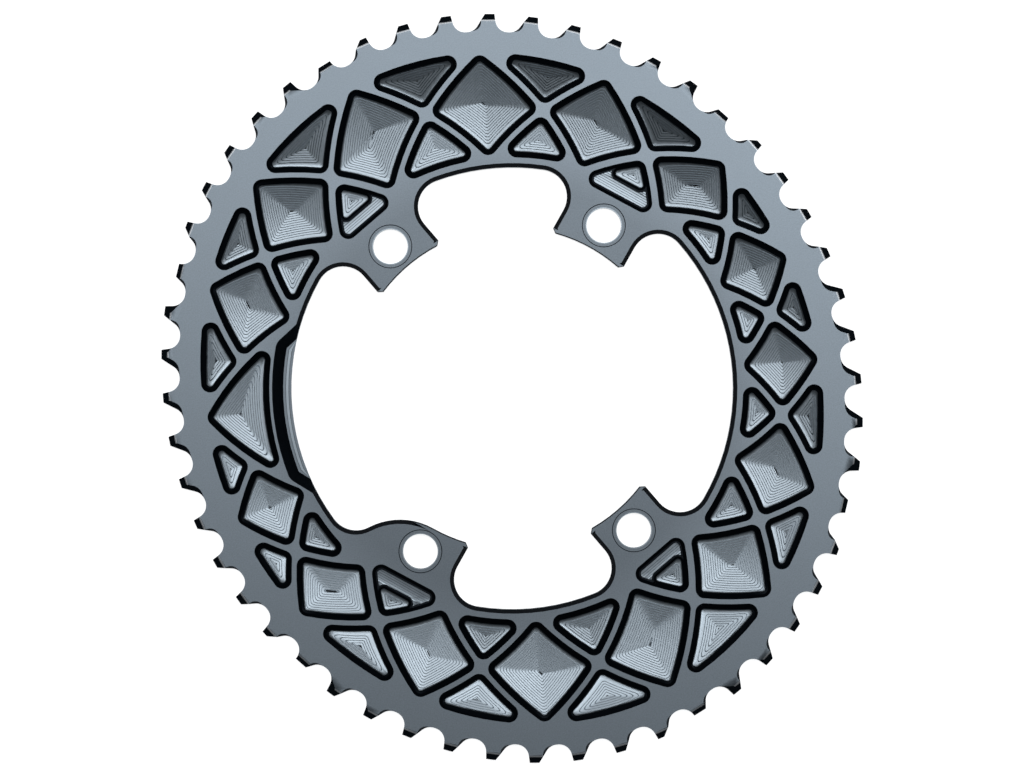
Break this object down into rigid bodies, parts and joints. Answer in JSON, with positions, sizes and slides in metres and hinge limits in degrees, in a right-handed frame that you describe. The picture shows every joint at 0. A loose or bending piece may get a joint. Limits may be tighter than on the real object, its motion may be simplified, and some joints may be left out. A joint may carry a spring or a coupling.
{
  "type": "bicycle chainring",
  "caption": "Oval outer bicycle chainring: a toothed ring with a pocketed web, four unevenly spaced bolt tabs and a recess for the crank arm.",
  "frame": {"origin": "centre of the bolt circle, in the plane of the back face", "axes": "+Z out of the front face, +Y midway between the upper two bolt holes, -X towards the recess for the crank arm"},
  "size_m": [0.205, 0.2218, 0.0042],
  "materials": {
    "anodised_aluminium": "hard-anodised satin grey",
    "pin_steel": "ground"
  },
  "bodies": {
    "root": {"chainring": "anodised_aluminium", "shift_pin_1": "pin_steel", "shift_pin_2": "pin_steel", "shift_pin_3": "pin_steel", "shift_pin_4": "pin_steel", "shift_pin_5": "pin_steel", "shift_pin_6": "pin_steel"}
  },
  "joints": []
}
